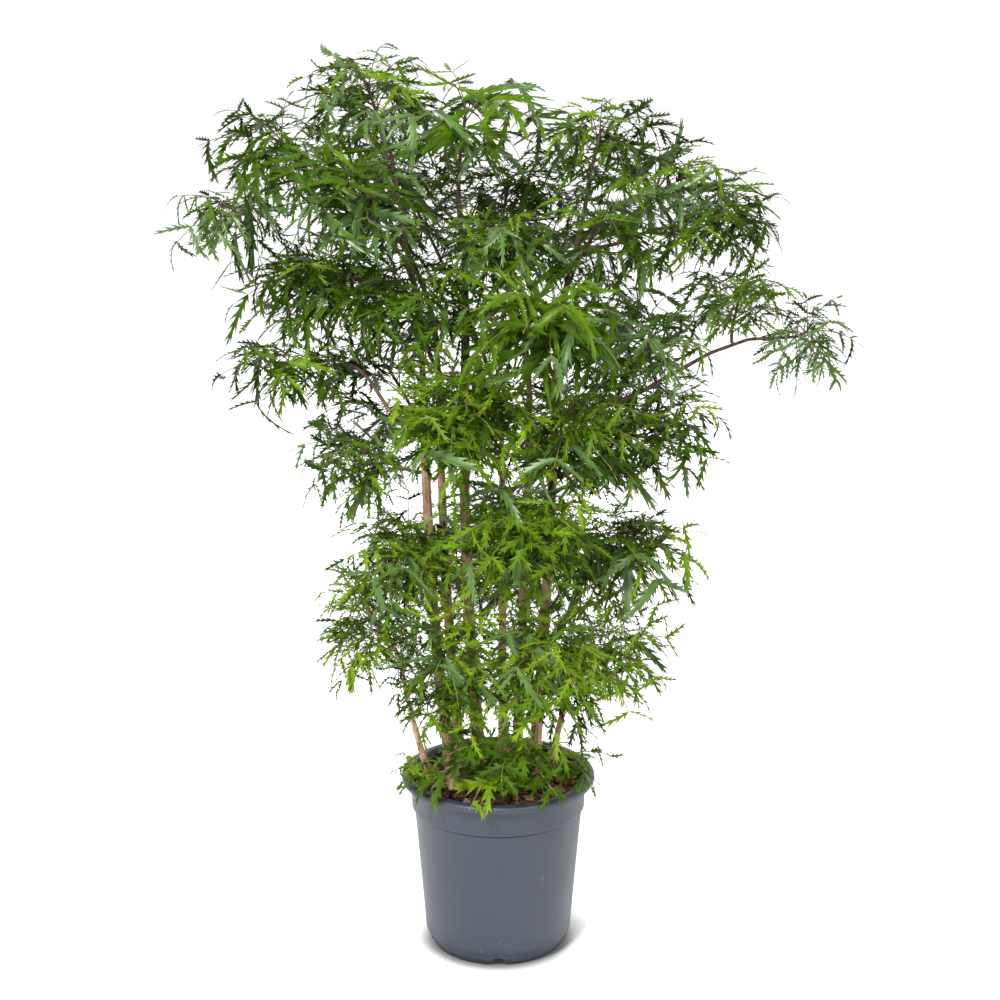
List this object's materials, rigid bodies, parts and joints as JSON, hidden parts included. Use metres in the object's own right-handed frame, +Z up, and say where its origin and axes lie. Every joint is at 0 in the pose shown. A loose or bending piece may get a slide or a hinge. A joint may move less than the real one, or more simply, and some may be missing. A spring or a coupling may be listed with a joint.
{
  "type": "potted ming aralia",
  "caption": "Ming aralia in a slate-grey plastic nursery pot: eight slim canes, arching boughs and an airy crown of finely cut drooping leaves.",
  "frame": {"origin": "centre of the pot's flat underside", "axes": "+Z up along the pot's axis, -Y towards the plant's front, +X to the right as seen from the front"},
  "size_m": [0.816, 0.4883, 1.1057],
  "materials": {
    "pot_plastic": "satin",
    "soil": "rough",
    "cane_bark": "rough",
    "bough_bark": "rough",
    "leaf": "satin"
  },
  "bodies": {
    "root": {"bough_back_left": "bough_bark", "bough_back_right": "bough_bark", "bough_centre_back": "bough_bark", "bough_crest_left": "bough_bark", "bough_crest_middle": "bough_bark", "bough_crest_right": "bough_bark", "bough_front": "bough_bark", "bough_front_left": "bough_bark", "bough_left_arch": "bough_bark", "bough_low_left": "bough_bark", "bough_right_arch": "bough_bark", "bough_right_arm": "bough_bark", "bough_shoulder_left": "bough_bark", "cane_back": "cane_bark", "cane_left": "cane_bark", "cane_left_twin": "cane_bark", "cane_middle": "cane_bark", "cane_right": "cane_bark", "cane_right_back": "cane_bark", "foliage_arm_tip": "leaf", "foliage_arm_upper": "leaf", "foliage_back_high_left": "leaf", "foliage_back_high_right": "leaf", "foliage_back_low": "leaf", "foliage_back_middle_left": "leaf", "foliage_back_middle_right": "leaf", "foliage_base_front": "leaf", "foliage_base_left": "leaf", "foliage_base_right": "leaf", "foliage_bottom_right": "leaf", "foliage_centre_front": "leaf", "foliage_centre_high": "leaf", "foliage_centre_left": "leaf", "foliage_centre_right": "leaf", "foliage_centre_upper": "leaf", "foliage_crest_left": "leaf", "foliage_crest_middle": "leaf", "foliage_crest_right": "leaf", "foliage_edge_right": "leaf", "foliage_front_left": "leaf", "foliage_inner_left": "leaf", "foliage_inner_right": "leaf", "foliage_lobe_left": "leaf", "foliage_low_left": "leaf", "foliage_low_right": "leaf", "foliage_lower_left": "leaf", "foliage_lower_right": "leaf", "foliage_middle_left": "leaf", "foliage_middle_right": "leaf", "foliage_rim_left": "leaf", "foliage_rim_right": "leaf", "foliage_shoulder_left": "leaf", "foliage_shoulder_right": "leaf", "foliage_tip_left": "leaf", "foliage_waist_front": "leaf", "foliage_waist_left": "leaf", "pot": "pot_plastic", "shoot_left": "cane_bark", "shoot_right": "cane_bark", "soil": "soil"}
  },
  "joints": []
}
